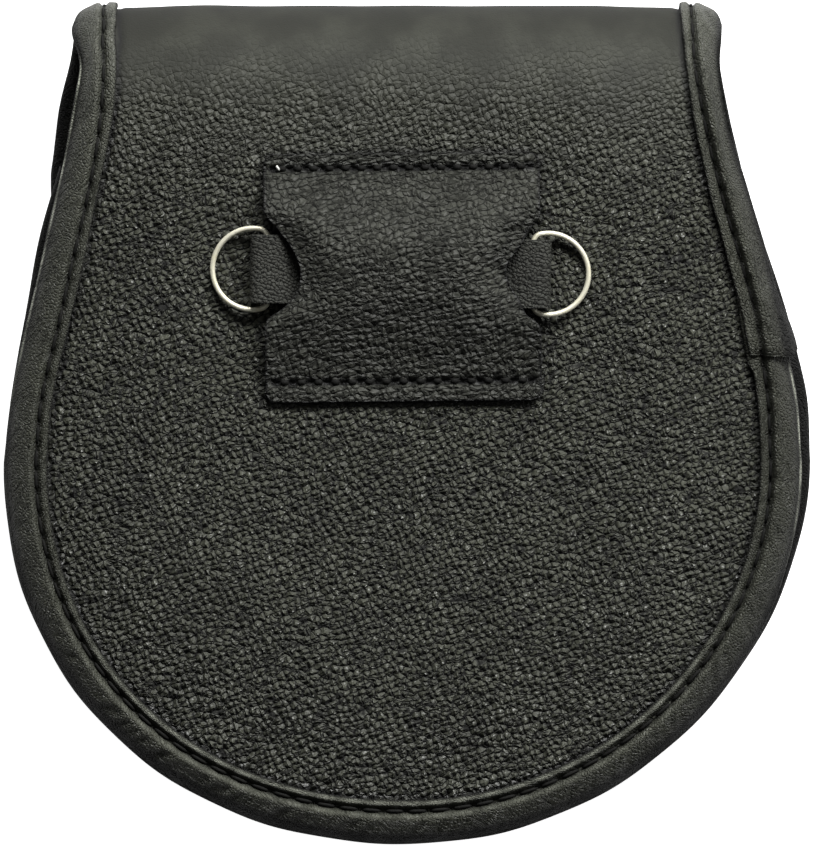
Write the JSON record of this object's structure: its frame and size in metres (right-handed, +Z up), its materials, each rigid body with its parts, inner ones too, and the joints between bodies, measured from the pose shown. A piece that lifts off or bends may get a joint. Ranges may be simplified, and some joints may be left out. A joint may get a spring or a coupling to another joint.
{
  "type": "sporran pouch",
  "caption": "Rounded leather belt pouch with a flap folded over its top, a belt-loop patch on its back and a swinging D-ring at each side of the patch.",
  "frame": {"origin": "centre of the bounding box's bottom face; the pouch lies on its flap with its back up", "axes": "+Z up, out of the back panel; +Y towards the fold of the flap; +X to the right of someone who looks at the back with the fold at the top"},
  "size_m": [0.1863, 0.1927, 0.0449],
  "materials": {
    "grained_leather": "pebbled grain, semi-matte",
    "binding_leather": "smooth, satin",
    "strap_leather": "fine grain, semi-matte",
    "ring_metal": "polished nickel plate",
    "snap_metal": "plain"
  },
  "bodies": {
    "pouch": {"back_and_flap": "grained_leather", "front_panel": "grained_leather", "gusset": "binding_leather", "edge_binding": "binding_leather", "front_binding": "binding_leather", "loop_patch": "grained_leather", "ring_strap": "strap_leather", "snap_fastener": "snap_metal"},
    "ring_left": {"ring_left": "ring_metal"},
    "ring_right": {"ring_right": "ring_metal"}
  },
  "joints": [
    {"name": "ring_left_swing", "type": "hinge", "parent": "pouch", "child": "ring_left", "pos_m": [-0.032, 0.03625, 0.03725], "axis": [0, 1, 0], "range_deg": [0, 112]},
    {"name": "ring_right_swing", "type": "hinge", "parent": "pouch", "child": "ring_right", "pos_m": [0.0282, 0.0351, 0.03725], "axis": [0, -1, 0], "range_deg": [0, 100]}
  ]
}
